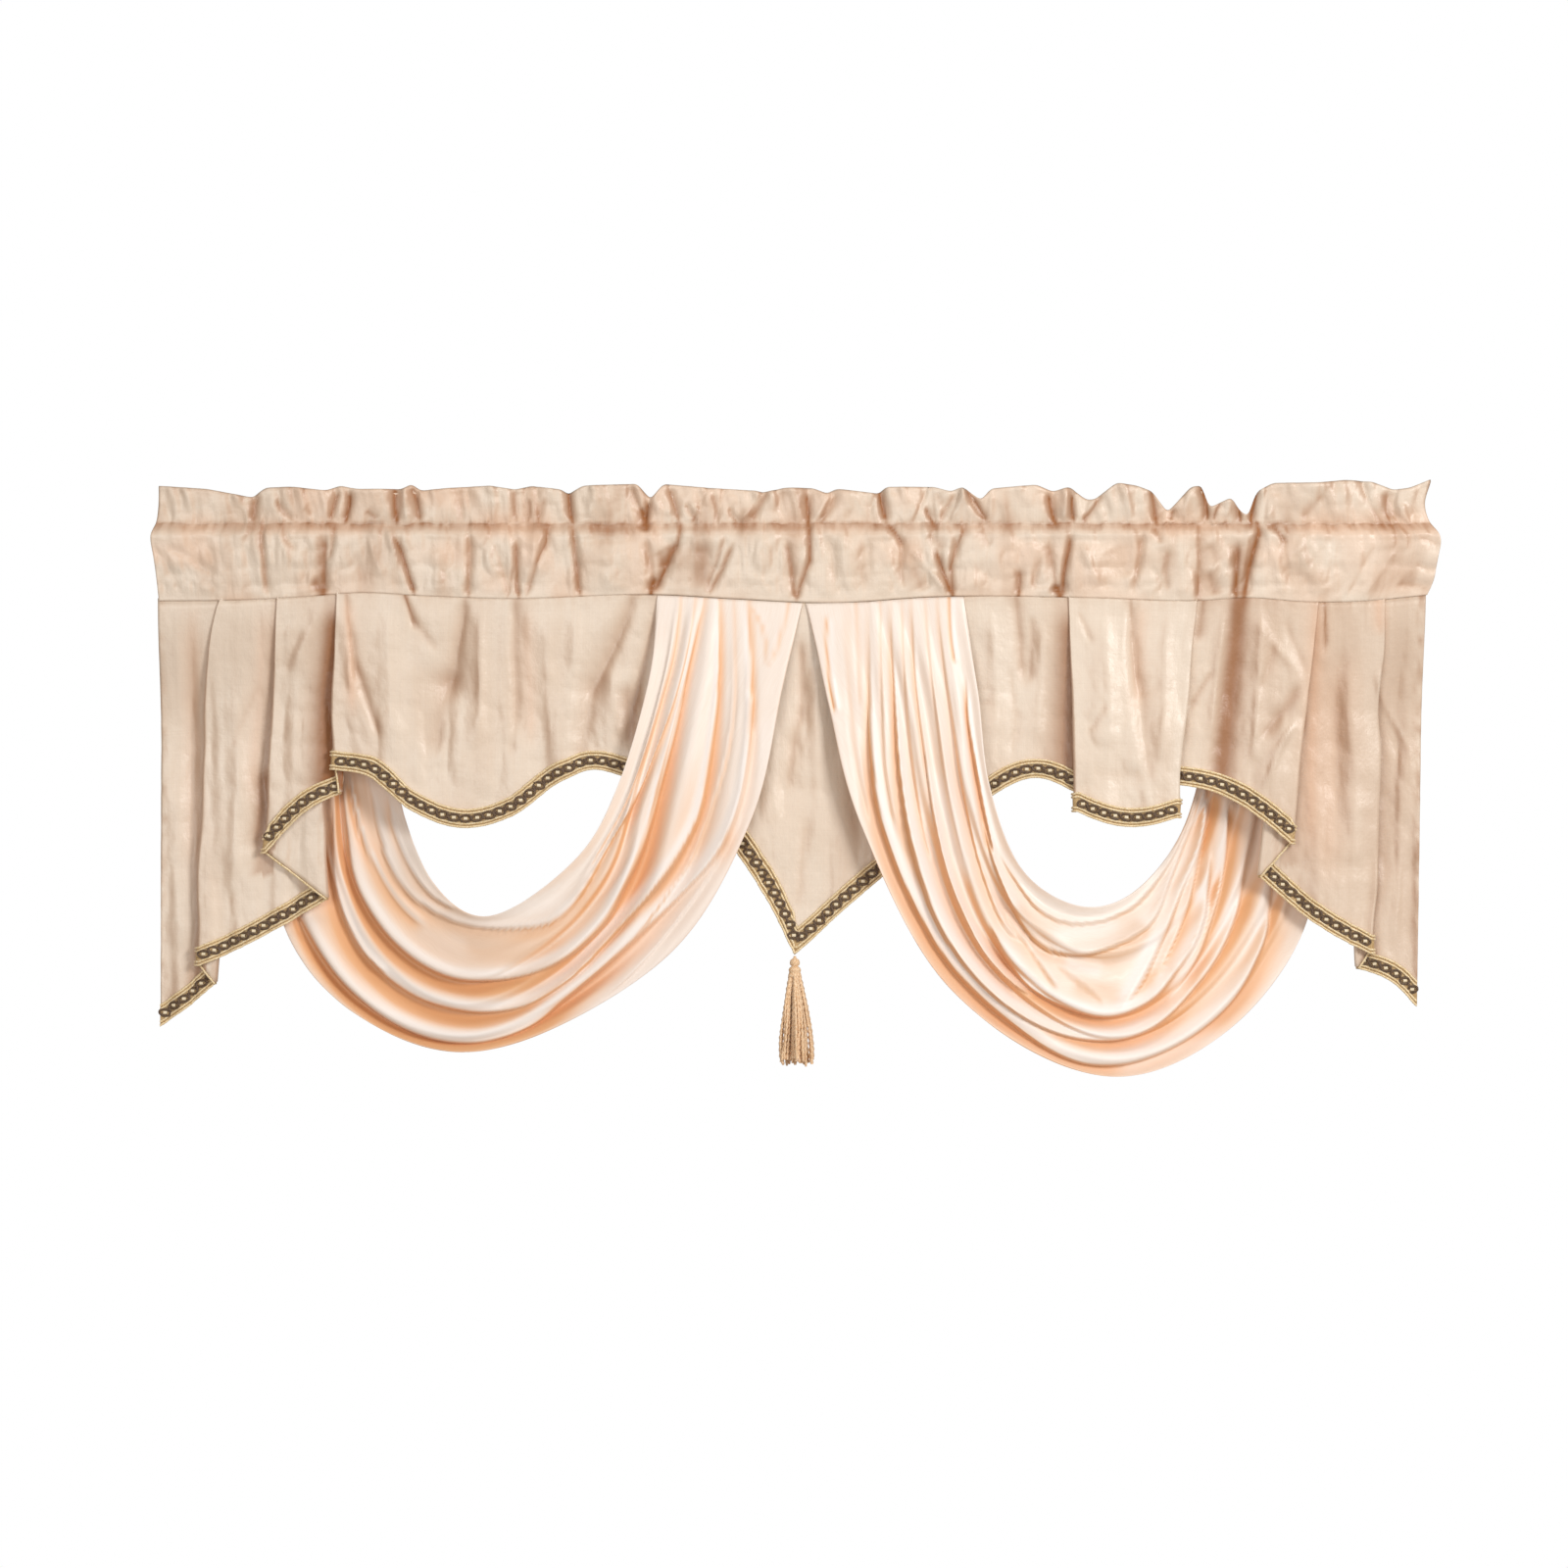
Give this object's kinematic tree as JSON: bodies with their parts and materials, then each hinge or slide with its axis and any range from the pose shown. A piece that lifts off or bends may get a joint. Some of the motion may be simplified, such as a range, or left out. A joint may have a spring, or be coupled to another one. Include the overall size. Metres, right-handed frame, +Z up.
{
  "type": "scarf valance",
  "caption": "Window valance with a ruffled rod-pocket heading, stepped side cascades, draped satin swags, a braided hem and a tassel on its centre point.",
  "frame": {"origin": "middle of the width, on the rod line where the ruffle meets the rod pocket, midway through the pocket's depth", "axes": "+X along the rod, to the right as seen from the room; +Y towards the wall, so the draped front faces -Y; +Z up"},
  "size_m": [1.3202, 0.0862, 0.6061],
  "materials": {
    "taffeta": "champagne taffeta with a soft sheen",
    "satin": "glossy pale peach satin",
    "braid": "gold and dark brown gimp braid",
    "tassel": "silky peach-gold yarn"
  },
  "bodies": {
    "root": {"heading": "taffeta", "panel": "taffeta", "left_swag": "satin", "right_swag": "satin", "hem_braid": "braid", "tassel": "tassel"}
  },
  "joints": []
}
